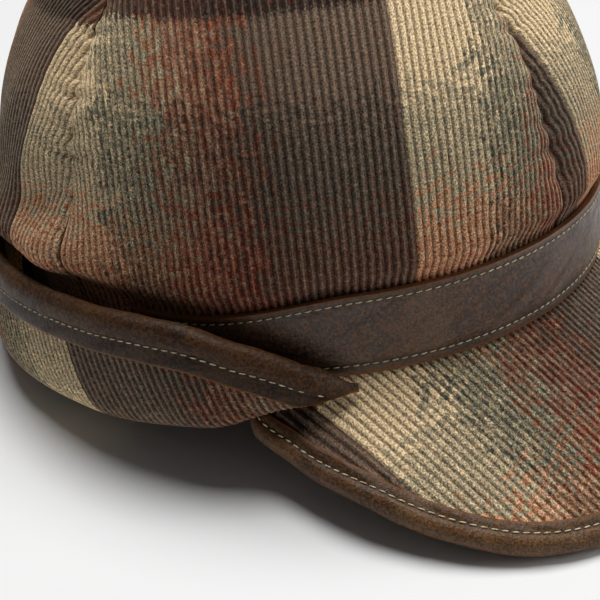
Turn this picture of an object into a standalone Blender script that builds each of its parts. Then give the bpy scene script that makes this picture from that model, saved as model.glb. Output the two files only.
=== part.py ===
"""Ear flap cap: a four panel corduroy dome with a leather band, a bound peak and a turned up ear flap.

The cap is drawn upright in millimetres about its head ring, an ellipse level with the band's lower edge.
It is then tipped back until it rests on the peak's edge and on the back of the flap, as it lies on a table.
"""

import functools
import math

import bmesh
import bpy
from mathutils import Matrix, Vector

MM = 0.001

# Head ring: the outer face of the leather band
RING_HALF_WIDTH = 95.0
RING_HALF_LENGTH = 102.0
PIECE_GAP = 0.3
WRAP_GAP = 0.4

# Crown panels, their seams and their soft folds
CROWN_HEIGHT = 130.0
CROWN_CLOTH = 2.0
SEAM_DEPTH = 1.6
SEAM_WIDTH = 6.0
FOLD_DEPTH = 2.6
FOLD_WIDTH = 8.0

# Heights where the relief fades in above the band and out below the top, as shares of CROWN_HEIGHT
RELIEF_STARTS = (0.20, 0.32)
RELIEF_ENDS = (0.93, 0.99)

# A fold's ridge as a share of its valley's depth, and how far both lie off its line, as a share of its width
RIDGE_SHARE = 0.45
RIDGE_OFF_LINE = 0.6

# Leather band across the front
BAND_HEIGHT = 24.0
BAND_LEATHER = 2.2
BAND_HALF_ANGLE = math.radians(78)
BAND_HOLLOW = 0.5
TUCK_RISE = 8.0

# Peak and its leather binding
PEAK_REACH = 52.0
PEAK_SLOPE = math.radians(33)
PEAK_CORNER_STEEPER = math.radians(18)
PEAK_HALF_ANGLE = math.radians(59.5)
PEAK_BOARD = 3.4
BINDING_LEATHER = 1.2
BINDING_TOP_LIP = 8.0
BINDING_UNDER_LIP = 7.0
BINDING_HALF_ANGLE = math.radians(56.5)

# The most of the peak's reach that a lip takes, and the reach at which the edge's roll has faded in
BINDING_LIP_MOST = 0.5
ROLL_FADE = 0.3

# Where the corners of the peak begin to turn down, as a share of PEAK_HALF_ANGLE
CORNER_START = 0.7

# Ear flap turned up round the sides and back, and the leather trim on its free edge
FLAP_TOP = 25.5
FLAP_DROP = 15.0
FLAP_REACH = 13.5
FLAP_CLOTH = 2.6
FLAP_FRONT_ANGLE = math.radians(48)
FLAP_CLOSE_TURN = math.radians(12)
TRIM_LEATHER = 1.2
TRIM_OUTER_LIP = 11.5
TRIM_INNER_LIP = 8.0

# The most that the trim's lips take of the flap's outer face and of its inner face
TRIM_OUTER_MOST = 0.75
TRIM_INNER_MOST = 0.45

# How far the soft fold of the flap is pressed flat where the cap rests on it
REST_FLAT = 0.8

# Facets of each wall, around and up
CROWN_STEPS = (12, 17)
BAND_STEPS = (36, 4)
PEAK_STEPS = (34, 5)
BINDING_STEPS = (34, 10)
FLAP_STEPS = (56, 10)

# Half a facet of the walls, along and around, over which a wrapped face's direction is taken
FACET_HALF = 1.6
FACET_HALF_TURN = math.radians(2.3)

# The outer and the inner lip of a wrapped edge as shares of its rows of facets; the rest is its roll
OUTER_LIP_ROWS = 0.34
INNER_LIP_ROWS = 0.30

# Fine steps that measure along a curve: rows of a table, turns, and points of a section
ROW_STEP = 0.02
TURN_STEP = 0.01
SECTION_STEPS = 48
LOWEST_STEPS = 60

# Colours, linear
PLAID = (0.30, 0.24, 0.16)
DARK_LEATHER = (0.045, 0.032, 0.024)
BROWN_LEATHER = (0.115, 0.065, 0.035)
CLOTH_ROUGHNESS = 0.9
LEATHER_ROUGHNESS = 0.5

# Outline of the crown: height as a share of CROWN_HEIGHT, spread as a share of the head ring
CROWN_OUTLINE = (
    (0.008, 1.000),
    (0.092, 1.000),
    (0.177, 1.000),
    (0.215, 1.003),
    (0.270, 1.002),
    (0.338, 0.987),
    (0.472, 0.936),
    (0.608, 0.850),
    (0.725, 0.731),
    (0.822, 0.587),
    (0.899, 0.427),
    (0.955, 0.264),
    (0.988, 0.112),
    (1.000, 0.006),
)

# Soft folds of the crown: angle from the front, height as a share of CROWN_HEIGHT, half length along the
# fold as a share of CROWN_HEIGHT, lean of the fold from level in degrees, depth as a share of FOLD_DEPTH
CROWN_FOLDS = (
    (100.0, 0.36, 0.16, -38.0, 1.00),
    (-104.0, 0.37, 0.15, 34.0, 0.80),
    (152.0, 0.33, 0.14, 20.0, 0.70),
    (-146.0, 0.45, 0.12, -30.0, 0.60),
    (18.0, 0.30, 0.10, 24.0, 0.45),
    (-24.0, 0.33, 0.11, -20.0, 0.55),
)

# Outline of the peak: turn from the front as a share of PEAK_HALF_ANGLE, reach as a share of PEAK_REACH
PEAK_OUTLINE = (
    (0.00, 1.000),
    (0.20, 0.992),
    (0.37, 0.955),
    (0.48, 0.890),
    (0.59, 0.770),
    (0.68, 0.645),
    (0.78, 0.480),
    (0.88, 0.300),
    (0.96, 0.165),
    (1.00, 0.050),
)

# Course of the ear flap: turn from TRIM_FRONT_ANGLE to the back as a share, then the height of its top,
# the drop of its fold and its reach as shares of FLAP_TOP, FLAP_DROP and FLAP_REACH
FLAP_COURSE = (
    (0.000, 0.12, 0.13, 0.42),
    (0.022, 0.24, 0.18, 0.48),
    (0.043, 0.36, 0.23, 0.64),
    (0.072, 0.51, 0.28, 0.70),
    (0.101, 0.65, 0.32, 0.76),
    (0.116, 0.71, 0.33, 0.81),
    (0.130, 0.78, 0.43, 0.86),
    (0.152, 0.88, 0.61, 0.93),
    (0.174, 0.95, 0.69, 0.97),
    (0.232, 1.00, 0.80, 1.00),
    (0.312, 1.00, 0.89, 1.00),
    (0.420, 0.98, 0.96, 1.00),
    (0.700, 0.97, 0.99, 1.00),
    (1.000, 0.97, 1.00, 1.00),
)

# Outer face of the flap from its free edge round the fold to its inner edge: reach and rise as shares
FLAP_SECTION = (
    (0.80, 1.000),
    (0.90, 0.770),
    (0.97, 0.550),
    (1.00, 0.350),
    (0.95, 0.150),
    (0.78, 0.018),
    (0.56, 0.000),
    (0.33, 0.008),
    (0.12, 0.080),
    (0.01, 0.270),
    (0.00, 0.550),
)
FLAP_INNER_RISE = FLAP_SECTION[-1][1]

TURN = 2 * math.pi
RING_MEAN = 0.5 * (RING_HALF_WIDTH + RING_HALF_LENGTH)

# The trim runs on past the flap's cloth by one of the steps that both are laid out in
TRIM_STEPS = (FLAP_STEPS[0] + 2, 9)
TRIM_FRONT_ANGLE = FLAP_FRONT_ANGLE - (TURN - 2 * FLAP_FRONT_ANGLE) / FLAP_STEPS[0]


def curve_through(places, values, place):
    """The value at a place on a smooth curve through a table's values."""
    last = len(places) - 1
    row = max(0, min(last - 1, sum(1 for known in places[1:] if known <= place)))

    def slope(at):
        before, after = max(at - 1, 0), min(at + 1, last)
        return (values[after] - values[before]) / (places[after] - places[before])

    step = places[row + 1] - places[row]
    share = max(0.0, min(1.0, (place - places[row]) / step))
    square, cube = share * share, share * share * share
    return (
        (2 * cube - 3 * square + 1) * values[row]
        + (cube - 2 * square + share) * step * slope(row)
        + (3 * square - 2 * cube) * values[row + 1]
        + (cube - square) * step * slope(row + 1)
    )


def column(table, number):
    """One column of a table."""
    return [row[number] for row in table]


def eased(low, high, value):
    """0 below low, 1 above high and a smooth step between them."""
    share = max(0.0, min(1.0, (value - low) / (high - low)))
    return share * share * (3 - 2 * share)


def ring_point(angle, offset, height):
    """A point at an angle from the front, an offset out from the head ring, and a height above it."""
    spread = 1 + offset / RING_MEAN
    return Vector(
        (-RING_HALF_WIDTH * spread * math.sin(angle), -RING_HALF_LENGTH * spread * math.cos(angle), height)
    )


def surface_normal(surface, first, second, first_step, second_step):
    """The unit normal of a surface of two values, worked out from small steps."""
    along = surface(first + first_step, second) - surface(first - first_step, second)
    across = surface(first, second + second_step) - surface(first, second - second_step)
    return along.cross(across).normalized()


def crown_outline_point(angle, place):
    """The smooth dome, without seams and folds. The place runs over the rows of CROWN_OUTLINE."""
    rows = list(range(len(CROWN_OUTLINE)))
    height = curve_through(rows, column(CROWN_OUTLINE, 0), place) * CROWN_HEIGHT
    spread = curve_through(rows, column(CROWN_OUTLINE, 1), place)
    behind_band = 1 - eased(BAND_HEIGHT, BAND_HEIGHT + TUCK_RISE, height)
    tuck = (BAND_LEATHER + BAND_HOLLOW + PIECE_GAP) * behind_band
    return ring_point(angle, (spread - 1) * RING_MEAN - tuck, height)


def crown_relief(angle, point):
    """How far the crown stands out at its seams and soft folds."""
    radius = math.hypot(point.x, point.y)
    height_share = point.z / CROWN_HEIGHT
    from_seam = abs((angle + TURN / 8) % (TURN / 4) - TURN / 8) * radius
    open_height = eased(*RELIEF_STARTS, height_share) * (1 - eased(*RELIEF_ENDS, height_share))
    relief = -SEAM_DEPTH * math.exp(-((from_seam / SEAM_WIDTH) ** 2)) * open_height
    for degrees, height, half_length, lean, depth in CROWN_FOLDS:
        turn = (angle - math.radians(degrees) + TURN / 2) % TURN - TURN / 2
        level = turn * radius
        rise = point.z - height * CROWN_HEIGHT
        tilt = math.radians(lean)
        along = level * math.cos(tilt) + rise * math.sin(tilt)
        across = rise * math.cos(tilt) - level * math.sin(tilt)
        reach = math.exp(-((along / (half_length * CROWN_HEIGHT)) ** 2))
        ridge = math.exp(-((across / FOLD_WIDTH - RIDGE_OFF_LINE) ** 2))
        valley = math.exp(-((across / FOLD_WIDTH + RIDGE_OFF_LINE) ** 2))
        relief += FOLD_DEPTH * depth * reach * (RIDGE_SHARE * ridge - valley) * open_height
    return relief


def crown_surface(angle, place):
    """The outer face of the crown."""
    point = crown_outline_point(angle, place)
    out = Vector((-math.sin(angle) / RING_HALF_WIDTH, -math.cos(angle) / RING_HALF_LENGTH, 0)).normalized()
    climb = crown_outline_point(angle, place + ROW_STEP) - crown_outline_point(angle, place - ROW_STEP)
    normal = (out * climb.z - Vector((0, 0, 1)) * climb.dot(out)).normalized()
    return point + normal * crown_relief(angle, point)


def crown_panel_surface(middle):
    """The outer face of one quarter panel, for its middle angle."""

    def place(across, along):
        where = along * (len(CROWN_OUTLINE) - 1)
        radius = crown_outline_point(middle, where).to_2d().length
        half = TURN / 8 - math.atan2(0.5 * PIECE_GAP, radius)
        return crown_surface(middle + (1 - 2 * across) * half, where)

    return place


def band_surface(across, along):
    """The outer face of the leather band, a little hollow at mid height."""
    hollow = BAND_HOLLOW * (1 - (2 * along - 1) ** 2)
    return ring_point((1 - 2 * across) * BAND_HALF_ANGLE, -hollow, along * BAND_HEIGHT)


def peak_slope(angle):
    """The peak's slope, steeper towards its corners."""
    return PEAK_SLOPE + PEAK_CORNER_STEEPER * eased(CORNER_START, 1.0, abs(angle) / PEAK_HALF_ANGLE)


def peak_height(angle, offset):
    """The height of the peak's upper face."""
    return -PIECE_GAP - math.tan(peak_slope(angle)) * (offset + BAND_LEATHER)


def peak_edge_offset(angle):
    """How far the board's outer edge lies from the head ring. The roll of the binding goes on past it."""
    share = curve_through(column(PEAK_OUTLINE, 0), column(PEAK_OUTLINE, 1), abs(angle) / PEAK_HALF_ANGLE)
    roll = 0.5 * PEAK_BOARD + WRAP_GAP + BINDING_LEATHER
    return share * PEAK_REACH - roll * eased(0.0, ROLL_FADE, share)


def peak_surface(across, along):
    """The upper face of the peak's board, from the band to its outer edge."""
    angle = (1 - 2 * across) * PEAK_HALF_ANGLE
    offset = -BAND_LEATHER + (1 - along) * (peak_edge_offset(angle) + BAND_LEATHER)
    return ring_point(angle, offset, peak_height(angle, offset))


def peak_edge_plan(angle):
    """The board's outer edge seen from above."""
    return ring_point(angle, peak_edge_offset(angle), 0)


def peak_inward(angle, distance):
    """The point of the peak's upper face at a distance in from its edge, square to that edge."""
    edge = peak_edge_plan(angle)
    run = peak_edge_plan(angle + TURN_STEP) - peak_edge_plan(angle - TURN_STEP)
    inward = Vector((run.y, -run.x, 0)).normalized()
    inward = inward if inward.dot(edge) < 0 else -inward
    drop = math.cos(peak_slope(angle))
    plan = edge + inward * distance * drop
    where = math.atan2(-plan.x / RING_HALF_WIDTH, -plan.y / RING_HALF_LENGTH)
    spread = math.hypot(plan.x / RING_HALF_WIDTH, plan.y / RING_HALF_LENGTH)
    return Vector((plan.x, plan.y, peak_height(where, (spread - 1) * RING_MEAN)))


def flap_size(angle, number):
    """The flap's top, drop or reach at an angle, as its column of FLAP_COURSE gives it."""
    turn = (abs(angle) - TRIM_FRONT_ANGLE) / (TURN / 2 - TRIM_FRONT_ANGLE)
    size = {1: FLAP_TOP, 2: FLAP_DROP, 3: FLAP_REACH}[number]
    return size * curve_through(column(FLAP_COURSE, 0), column(FLAP_COURSE, number), turn)


def flap_inside(angle):
    """The offset of the flap's inner edge: against the band in front and against the crown past the band."""
    past_band = eased(0.0, FLAP_CLOSE_TURN, abs(angle) - BAND_HALF_ANGLE)
    return WRAP_GAP - past_band * (BAND_LEATHER + BAND_HOLLOW + PIECE_GAP)


def flap_cloth_height(angle):
    """How tall the flap's cloth stands from its fold to its free edge, inside the trim."""
    roll = 0.5 * FLAP_CLOTH + WRAP_GAP + TRIM_LEATHER
    return flap_size(angle, 1) - roll + flap_size(angle, 2)


def flap_section_point(angle, share):
    """Offset and height of the flap's outer face at a share of the way through the rows of its section."""
    rows = list(range(len(FLAP_SECTION)))
    place = share * rows[-1]
    inside = flap_inside(angle)
    across = curve_through(rows, column(FLAP_SECTION, 0), place)
    rise = curve_through(rows, column(FLAP_SECTION, 1), place)
    offset = inside + (flap_size(angle, 3) - inside) * across
    return offset, flap_cloth_height(angle) * rise - flap_size(angle, 2)


@functools.lru_cache(maxsize=4096)
def flap_strip(angle):
    """The flap's outer face at one angle, as (distance from its free edge, offset, height) steps."""
    steps = []
    distance = 0.0
    for count in range(SECTION_STEPS + 1):
        offset, height = flap_section_point(angle, count / SECTION_STEPS)
        if steps:
            distance += math.hypot(offset - steps[-1][1], height - steps[-1][2])
        steps.append((distance, offset, height))
    return steps


def flap_point(angle, distance):
    """The point of the flap's outer face at a distance down from its free edge."""
    steps = flap_strip(angle)
    after = next((number for number, step in enumerate(steps) if step[0] > distance), len(steps) - 1)
    after = max(after, 1)
    start, end = steps[after - 1], steps[after]
    share = (distance - start[0]) / (end[0] - start[0])
    offset = start[1] + share * (end[1] - start[1])
    height = start[2] + share * (end[2] - start[2])
    return ring_point(angle, offset, height)


def round_the_back(across, front_angle):
    """The angle at a share of the way from one front end round the back to the other."""
    return front_angle + (1 - across) * (TURN - 2 * front_angle)


def behind(angle):
    """The same angle counted from minus to plus half a turn."""
    return (angle + TURN / 2) % TURN - TURN / 2


def flap_surface(across, along):
    """The outer face of the flap's cloth."""
    angle = behind(round_the_back(across, FLAP_FRONT_ANGLE))
    offset, height = flap_section_point(angle, 1 - along)
    return ring_point(angle, offset, height)


def channel_surface(follow, angle_at, wall, leather, outer_lip, inner_lip):
    """The outer face of leather that wraps a free edge.

    follow(angle, distance) gives the face that is wrapped, at a distance from its free edge.
    """
    clear = WRAP_GAP + leather
    roll = 0.5 * wall + clear
    outer_end, inner_start = OUTER_LIP_ROWS, 1 - INNER_LIP_ROWS

    def place(across, along):
        angle = angle_at(across)

        def off_face(distance, side):
            face = surface_normal(follow, angle, max(distance, FACET_HALF), FACET_HALF_TURN, FACET_HALF)
            face = face if face.dot(outward_at(angle)) > 0 else -face
            return follow(angle, distance) + face * side, face

        if along < outer_end:
            distance = outer_lip(angle) * (1 - along / outer_end)
            return off_face(distance, clear)[0]
        if along > inner_start:
            distance = inner_lip(angle) * (along - inner_start) / (1 - inner_start)
            return off_face(distance, -wall - clear)[0]
        edge, face = off_face(0.0, 0.0)
        out = (edge - follow(angle, 2 * FACET_HALF)).normalized()
        turn = math.pi * (along - outer_end) / (inner_start - outer_end)
        return edge - face * 0.5 * wall + (face * math.cos(turn) + out * math.sin(turn)) * roll

    return place


def outward_at(angle):
    """Out and up at an angle, to tell an outer face from an inner one."""
    return (ring_point(angle, RING_MEAN, 0).normalized() + Vector((0, 0, 1))).normalized()


def binding_angle(across):
    """The angle at a share of the way along the peak's binding."""
    return (2 * across - 1) * BINDING_HALF_ANGLE


def binding_top_lip(angle):
    """The width of the binding's upper lip, which narrows where the peak does."""
    return min(BINDING_TOP_LIP, BINDING_LIP_MOST * (peak_edge_offset(angle) + BAND_LEATHER))


def binding_under_lip(angle):
    """The width of the binding's lower lip."""
    return min(BINDING_UNDER_LIP, BINDING_LIP_MOST * (peak_edge_offset(angle) + BAND_LEATHER))


def binding_surface():
    """The outer face of the leather round the peak's edge."""
    return channel_surface(
        peak_inward, binding_angle, PEAK_BOARD, BINDING_LEATHER, binding_top_lip, binding_under_lip
    )


def trim_angle(across):
    """The angle at a share of the way along the flap's trim."""
    return behind(round_the_back(across, TRIM_FRONT_ANGLE))


def trim_outer_lip(angle):
    """The width of the trim's outer lip, which narrows with the flap's ends."""
    return min(TRIM_OUTER_LIP, TRIM_OUTER_MOST * flap_cloth_height(angle))


def trim_inner_lip(angle):
    """The width of the trim's inner lip, which stays above the flap's inner edge."""
    return min(TRIM_INNER_LIP, TRIM_INNER_MOST * (1 - FLAP_INNER_RISE) * flap_cloth_height(angle))


def trim_surface():
    """The outer face of the leather on the flap's free edge."""
    return channel_surface(flap_point, trim_angle, FLAP_CLOTH, TRIM_LEATHER, trim_outer_lip, trim_inner_lip)


def lowest(surface, across):
    """The lowest point of a surface at one place across."""
    points = [surface(across, count / LOWEST_STEPS) for count in range(LOWEST_STEPS + 1)]
    return min(points, key=lambda point: point.z)


def resting_turn():
    """The turn and lift that set the cap down on the peak's edge and on the back of the flap."""
    front = lowest(binding_surface(), 0.5)
    back = lowest(flap_surface, 0.5)
    length, drop = back.y - front.y, back.z - front.z
    pitch = math.atan2(drop, length) + math.asin(REST_FLAT / math.hypot(length, drop))
    turn = Matrix.Rotation(-pitch, 4, "X")
    return Matrix.Translation((0, 0, -(turn @ front).z)) @ turn


def plain_material(name, colour, roughness):
    """A plain material of one colour."""
    material = bpy.data.materials.new(name)
    material.use_nodes = True
    shader = material.node_tree.nodes["Principled BSDF"]
    shader.inputs["Base Color"].default_value = (*colour, 1)
    shader.inputs["Roughness"].default_value = roughness
    shader.inputs["Metallic"].default_value = 0.0
    material.diffuse_color = (*colour, 1)
    return material


def wall(name, surface, steps, thickness, rest, material):
    """A closed wall: a grid laid on its outer face and thickened inwards, set down where the cap rests."""
    sheet = bmesh.new()
    bmesh.ops.create_grid(sheet, x_segments=steps[0], y_segments=steps[1], size=0.5)
    for point in sheet.verts:
        place = rest @ surface(point.co.x + 0.5, point.co.y + 0.5)
        point.co = Vector((place.x, place.y, max(place.z, 0.0))) * MM
    mesh = bpy.data.meshes.new(name)
    sheet.to_mesh(mesh)
    sheet.free()
    mesh.shade_smooth()
    mesh.materials.append(material)
    piece = bpy.data.objects.new(name, mesh)
    bpy.context.scene.collection.objects.link(piece)
    shell = piece.modifiers.new("wall", "SOLIDIFY")
    shell.thickness = thickness * MM
    shell.offset = -1.0
    shell.use_even_offset = True
    shell.use_rim = True
    return piece


def centre_on_origin(pieces):
    """Moves the whole cap level so that the middle of its box stands over the origin."""
    corners = [vertex.co for piece in pieces for vertex in piece.data.vertices]
    middle = [0.5 * (min(axis) + max(axis)) for axis in zip(*corners)]
    for piece in pieces:
        piece.data.transform(Matrix.Translation((-middle[0], -middle[1], 0)))


def clear_scene():
    """Takes the startup objects out."""
    for thing in list(bpy.data.objects):
        bpy.data.objects.remove(thing, do_unlink=True)


def main():
    """Builds the cap."""
    clear_scene()
    rest = resting_turn()
    panels = ("front_right", "back_right", "back_left", "front_left")
    walls = [
        (f"crown_panel_{name}", crown_panel_surface((number + 0.5) * TURN / 4), CROWN_STEPS, CROWN_CLOTH, PLAID)
        for number, name in enumerate(panels)
    ]
    walls += [
        ("leather_band", band_surface, BAND_STEPS, BAND_LEATHER, DARK_LEATHER),
        ("peak", peak_surface, PEAK_STEPS, PEAK_BOARD, PLAID),
        ("peak_binding", binding_surface(), BINDING_STEPS, BINDING_LEATHER, BROWN_LEATHER),
        ("ear_flap", flap_surface, FLAP_STEPS, FLAP_CLOTH, PLAID),
        ("ear_flap_trim", trim_surface(), TRIM_STEPS, TRIM_LEATHER, BROWN_LEATHER),
    ]
    pieces = []
    for name, surface, steps, thickness, colour in walls:
        roughness = CLOTH_ROUGHNESS if colour == PLAID else LEATHER_ROUGHNESS
        finish = plain_material(f"{name}_finish", colour, roughness)
        pieces.append(wall(name, surface, steps, thickness, rest, finish))
    centre_on_origin(pieces)


main()
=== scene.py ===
"""Looks of the ear flap cap: ribbed plaid corduroy, pull-up leather, stitching, and the studio round it.

Forms are worked out in millimetres in the cap's own upright frame, about its head ring, and are then set down
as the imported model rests. Angles run from the front towards the wearer's right. Cloth coordinates are in
millimetres too: across the ribs first, then along them.
"""

import logging
import math
from collections.abc import Callable, Sequence
from dataclasses import dataclass
from enum import Enum

import bmesh
import bpy
import numpy as np
from mathutils import Matrix, Vector


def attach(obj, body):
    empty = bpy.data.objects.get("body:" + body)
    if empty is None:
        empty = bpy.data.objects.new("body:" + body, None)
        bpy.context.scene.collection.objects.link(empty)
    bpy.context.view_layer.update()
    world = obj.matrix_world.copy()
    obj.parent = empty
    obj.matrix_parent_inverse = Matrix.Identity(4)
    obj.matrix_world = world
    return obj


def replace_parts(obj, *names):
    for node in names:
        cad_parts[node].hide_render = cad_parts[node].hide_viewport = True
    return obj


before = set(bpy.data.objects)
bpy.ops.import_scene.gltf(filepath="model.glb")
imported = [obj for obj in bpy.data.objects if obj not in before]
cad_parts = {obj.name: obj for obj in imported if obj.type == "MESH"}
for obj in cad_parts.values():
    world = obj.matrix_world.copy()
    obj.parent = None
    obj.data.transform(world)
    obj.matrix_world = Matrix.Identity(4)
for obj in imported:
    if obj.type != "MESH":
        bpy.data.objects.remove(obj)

Array = np.ndarray
Finish = bpy.types.Material
Piece = bpy.types.Object
Socket = bpy.types.NodeSocket
Tree = bpy.types.NodeTree

# A surface from two values, rows of points and their normals, and a sheet with its two faces and cloth coordinates
Surface = Callable[[Array, Array], Array]
Rows = list[tuple[Array, Array]]
Laid = tuple["Sheet", tuple[Array, Array], Array]

# Where a step starts and ends, a bell's width and height, waves' heights, lengths and phases, and a table's rows
Pair = tuple[float, float]
Triple = tuple[float, float, float]
Step = Bell = Pair
Waves = tuple[Triple, ...]
Table = tuple[tuple[float, ...], ...]
Stops = Sequence[tuple[float, str]]

MM = 0.001
TURN = 2 * math.pi
UP = np.array([0.0, 0.0, 1.0])
LOG = logging.getLogger("cap")

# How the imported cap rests: tipped back, then lifted and centred
REST = Matrix.Translation((0, 20.192, 24.038)) @ Matrix.Rotation(math.radians(-5.259), 4, "X")


class Slot(Enum):
    """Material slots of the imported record."""

    CORDUROY = "plaid_corduroy"
    DARK_LEATHER = "dark_leather"
    BROWN_LEATHER = "brown_leather"


def linear(colour: str) -> tuple[float, ...]:
    """Turn an sRGB hex colour to linear red, green and blue, with an alpha of one."""
    shares = (int(colour[place : place + 2], 16) / 255 for place in (1, 3, 5))
    return *(c / 12.92 if c <= 0.04045 else ((c + 0.055) / 1.055) ** 2.4 for c in shares), 1.0


def wrapped(angle: Array) -> Array:
    """Bring angles to within half a turn of the front."""
    return (angle + TURN / 2) % TURN - TURN / 2


def eased(low: float, high: float, value: Array) -> Array:
    """Step smoothly from 0 at low to 1 at high."""
    share = np.clip((value - low) / (high - low), 0.0, 1.0)
    return share * share * (3 - 2 * share)


def bell(value: Array, width: float, height: float = 1.0) -> Array:
    """Give a smooth bump about zero, which falls to about a third of its height over its width."""
    return height * np.exp(-((value / width) ** 2))


def waves(value: Array, rows: Waves) -> Array:
    """Add up slow waves, each of a height, a length and a phase, so that what repeats doesn't look machined."""
    return sum(height * np.sin(TURN * value / length + phase) for height, length, phase in rows)


def curve_through(places: Sequence[float], values: Sequence[float], place: Array) -> Array:
    """Read a smooth curve through a table's values.

    Args:
        places: Increasing places of the table's rows.
        values: The value at each row.
        place: Places to read the curve at.

    Returns:
        The curve's value at each place.
    """
    places, values, place = (np.asarray(item, float) for item in (places, values, place))
    last = len(places) - 1
    row = np.clip(np.searchsorted(places, place, side="right") - 1, 0, last - 1)
    before, after = np.maximum(np.arange(last + 1) - 1, 0), np.minimum(np.arange(last + 1) + 1, last)
    slope = (values[after] - values[before]) / (places[after] - places[before])
    step = places[row + 1] - places[row]
    share = np.clip((place - places[row]) / step, 0.0, 1.0)
    square, cube = share**2, share**3
    return (
        (2 * cube - 3 * square + 1) * values[row]
        + (cube - 2 * square + share) * step * slope[row]
        + (3 * square - 2 * cube) * values[row + 1]
        + (cube - square) * step * slope[row + 1]
    )


def unit(vectors: Array) -> Array:
    """Scale each row to length one."""
    return vectors / np.maximum(np.linalg.norm(vectors, axis=-1, keepdims=True), 1e-9)


def facing(normals: Array, towards: Array) -> Array:
    """Turn each normal to the side that a direction points to."""
    return np.where(np.sum(normals * towards, axis=-1, keepdims=True) < 0, -normals, normals)


def normals_of(surface: Surface, first: Array, second: Array, steps: Pair) -> Array:
    """Work out a surface's unit normals from small steps.

    Args:
        surface: The surface as a function of two values.
        first: First value at each point.
        second: Second value at each point.
        steps: How far to step in each value.

    Returns:
        One unit normal for each point, along the first step crossed with the second.
    """
    along = surface(first + steps[0], second) - surface(first - steps[0], second)
    across = surface(first, second + steps[1]) - surface(first, second - steps[1])
    return unit(np.cross(along, across))


@dataclass(frozen=True)
class HeadRing:
    """The ring that every piece is drawn about: the outer face of the leather band.

    Attributes:
        piece_gap: Gap between pieces that lie side by side.
        wrap_gap: Gap between a leather edge and what it wraps.
        band_dip: How far the crown sags over the band's top at the sides.
        dip_starts: Degrees from the front over which the dip sets in.
        dip_ends: Degrees over which it ends, behind the flap.
    """

    half_width: float = 95.0
    half_length: float = 102.0
    piece_gap: float = 0.3
    wrap_gap: float = 0.4
    band_height: float = 24.0
    band_dip: float = 5.5
    dip_starts: Step = (40.0, 68.0)
    dip_ends: Step = (78.0, 90.0)

    @property
    def mean(self) -> float:
        """The ring's mean radius."""
        return 0.5 * (self.half_width + self.half_length)

    def point(self, angle: Array, offset: Array, height: Array) -> Array:
        """Place points about the ring.

        Args:
            angle: Angles from the front.
            offset: Distances out from the ring.
            height: Heights above the band's lower edge.

        Returns:
            One point for each angle.
        """
        angle, offset, height = np.broadcast_arrays(angle, offset, height)
        spread = 1 + offset / self.mean
        x = -self.half_width * spread * np.sin(angle)
        return np.stack([x, -self.half_length * spread * np.cos(angle), height], axis=-1)

    def band_top(self, angle: Array) -> Array:
        """How high the band shows."""
        turned = np.degrees(np.abs(wrapped(angle)))
        return self.band_height - self.band_dip * eased(*self.dip_starts, turned) * (1 - eased(*self.dip_ends, turned))

    def about(self, x: Array, y: Array) -> tuple[Array, Array]:
        """Find the angles and the offsets about the ring of points seen from above."""
        wide, long = x / self.half_width, y / self.half_length
        return np.arctan2(-wide, -long), (np.hypot(wide, long) - 1) * self.mean

    def outward(self, angle: Array) -> Array:
        """Give the level direction square to the ring at each angle."""
        return unit(np.stack([-np.sin(angle) / self.half_width, -np.cos(angle) / self.half_length, 0 * angle], -1))


RING = HeadRing()


@dataclass(frozen=True)
class Ribs:
    """The corduroy's pile, woven in ribs, which stands on cloth that lies sunk under the smooth face."""

    pitch: float = 2.21
    height: float = 0.55
    sunk: float = 0.3

    def relief(self, across: Array) -> Array:
        """Give the height of the pile, round over a rib and narrow in a valley."""
        share = np.abs((across / self.pitch + 0.5) % 1.0 - 0.5) * 2
        return self.height * (1 - (1 - share) ** 3) - self.sunk

    def cut_at(self, across: Array, shift: float) -> Array:
        """Shift where the plaid falls by whole ribs."""
        return across + round(shift / self.pitch) * self.pitch


RIBS = Ribs()


@dataclass
class Sheet:
    """A regular sheet of points and the two shares that lay it out.

    Attributes:
        columns: Faces across.
        rows: Faces along.
    """

    columns: int
    rows: int

    def __post_init__(self) -> None:
        """Work out the two shares of each point, row by row."""
        shares = np.meshgrid(np.linspace(0, 1, self.columns + 1), np.linspace(0, 1, self.rows + 1))
        self.across, self.along = (share.ravel() for share in shares)

    def lengths(self, points: Array) -> tuple[Array, Array]:
        """Measure along each column.

        Args:
            points: The sheet's points.

        Returns:
            Distances from the first row, and distances from the last row.
        """
        steps = np.linalg.norm(np.diff(points.reshape(self.rows + 1, self.columns + 1, 3), axis=0), axis=-1)
        lengths = np.concatenate([np.zeros((1, self.columns + 1)), np.cumsum(steps, axis=0)])
        return lengths.ravel(), (lengths[-1] - lengths).ravel()


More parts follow.
